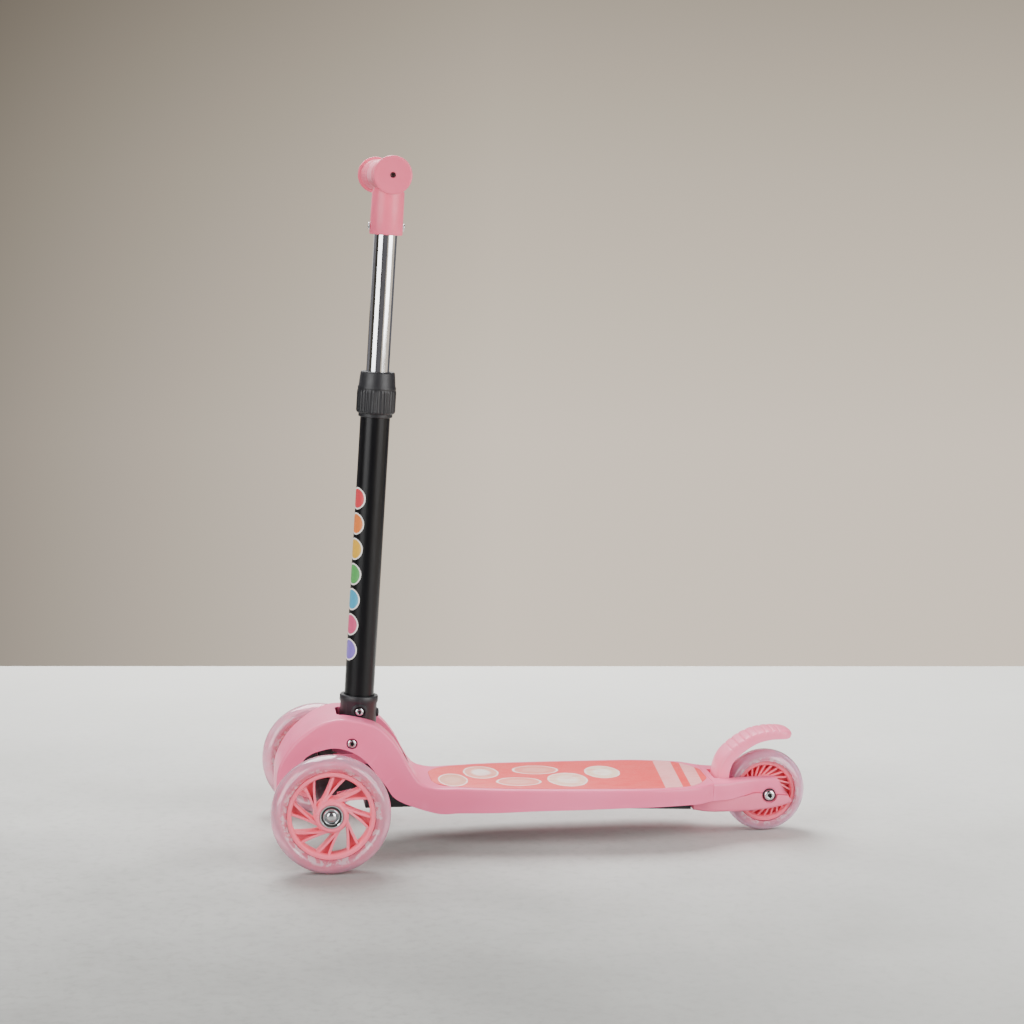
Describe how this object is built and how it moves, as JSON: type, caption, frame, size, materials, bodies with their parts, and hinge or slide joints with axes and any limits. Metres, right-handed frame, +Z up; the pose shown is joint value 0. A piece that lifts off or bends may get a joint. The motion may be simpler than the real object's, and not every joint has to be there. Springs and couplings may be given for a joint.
{
  "type": "kids scooter",
  "caption": "Folding kids scooter that leans to steer, with two front wheels, a rear wheel under a foot brake, a wide deck on an arched neck and a handlebar of adjustable height.",
  "frame": {"origin": "on the floor, in the plane of symmetry, under the middle of the overall length", "axes": "+Z up, -Y the way it rolls, +X the rider's left"},
  "size_m": [0.259, 0.5224, 0.6486],
  "materials": {
    "shell_pink": "satin injection moulded pink plastic",
    "panel_coral": "printed coral foot panel",
    "rim_pink": "coral pink moulded rim",
    "tyre_pink": "clear pink polyurethane",
    "lamp_white": "milky white lamp strip",
    "black_plastic": "charcoal moulded plastic",
    "black_paint": "black satin paint on a steel tube",
    "chrome": "bright chrome",
    "steel": "plain steel"
  },
  "bodies": {
    "deck": {"deck_shell": "shell_pink", "deck_panel": "panel_coral", "rear_cover": "shell_pink", "chassis_keel": "black_plastic", "front_mount": "black_plastic", "steering_bolt": "steel", "steering_nut": "steel", "fold_bolt": "chrome", "fold_nut": "chrome", "rear_axle_bolt": "chrome", "rear_axle_nut": "chrome", "rear_sleeve": "steel", "brake_pin": "steel", "keel_screw_1": "steel", "keel_screw_2": "steel", "keel_screw_3": "steel", "cover_screw_1": "steel", "cover_screw_2": "steel"},
    "truck": {"axle_beam": "black_plastic", "steering_bush_front": "steel", "steering_bush_rear": "steel", "axle_rod": "steel", "front_sleeve_left": "steel", "axle_cap_left": "chrome", "front_sleeve_right": "steel", "axle_cap_right": "chrome"},
    "wheel_left": {"wheel_left_rim": "rim_pink", "wheel_left_tyre": "tyre_pink", "wheel_left_lamps": "lamp_white", "wheel_left_bearing_left": "steel", "wheel_left_bearing_right": "steel"},
    "wheel_right": {"wheel_right_rim": "rim_pink", "wheel_right_tyre": "tyre_pink", "wheel_right_lamps": "lamp_white", "wheel_right_bearing_left": "steel", "wheel_right_bearing_right": "steel"},
    "wheel_rear": {"wheel_rear_rim": "rim_pink", "wheel_rear_tyre": "tyre_pink", "wheel_rear_lamps": "lamp_white", "wheel_rear_bearing_left": "steel", "wheel_rear_bearing_right": "steel"},
    "fender": {"brake_fender": "shell_pink"},
    "stem": {"stem_socket": "black_plastic", "clamp_bolt": "chrome", "clamp_nut": "chrome", "lower_tube": "black_paint", "tube_bush": "black_plastic"},
    "button": {"lock_button": "black_plastic"},
    "collar": {"twist_collar": "black_plastic"},
    "handle": {"upper_tube": "chrome", "tube_plug": "black_plastic", "handle_core": "shell_pink", "grip_left": "shell_pink", "grip_cap_left": "shell_pink", "grip_right": "shell_pink", "grip_cap_right": "shell_pink", "handle_screw_front": "chrome", "handle_screw_rear": "chrome"}
  },
  "joints": [
    {"name": "stem_fold", "type": "hinge", "parent": "deck", "child": "stem", "pos_m": [0, -0.18177, 0.10264], "axis": [-1, 0, 0], "range_deg": [0, 80]},
    {"name": "handle_height", "type": "slide", "parent": "stem", "child": "handle", "axis": [0, 0.0602, 0.9982], "range_m": [-0.115, 0.045]},
    {"name": "collar_twist", "type": "hinge", "parent": "stem", "child": "collar", "pos_m": [0, -0.15519, 0.42722], "axis": [0, 0.0602, 0.9982], "range_deg": [-90, 0]},
    {"name": "lock_press", "type": "slide", "parent": "stem", "child": "button", "axis": [0, -0.9982, 0.0602], "range_m": [0, 0.003], "stiffness_N_per_m": 600},
    {"name": "lean_steer", "type": "hinge", "parent": "deck", "child": "truck", "pos_m": [0, -0.1835, 0.0649], "axis": [0, -0.766, 0.6428], "range_deg": [-15, 15], "stiffness_Nm_per_rad": 30},
    {"name": "wheel_left_spin", "type": "hinge", "parent": "truck", "child": "wheel_left", "pos_m": [0.1175, -0.20625, 0.055], "axis": [1, 0, 0], "continuous": true},
    {"name": "wheel_right_spin", "type": "hinge", "parent": "truck", "child": "wheel_right", "pos_m": [-0.1175, -0.20625, 0.055], "axis": [1, 0, 0], "continuous": true},
    {"name": "wheel_rear_spin", "type": "hinge", "parent": "deck", "child": "wheel_rear", "pos_m": [0, 0.22125, 0.04], "axis": [1, 0, 0], "continuous": true},
    {"name": "brake_press", "type": "hinge", "parent": "deck", "child": "fender", "pos_m": [0, 0.17475, 0.05], "axis": [-1, 0, 0], "range_deg": [0, 20], "stiffness_Nm_per_rad": 3}
  ]
}
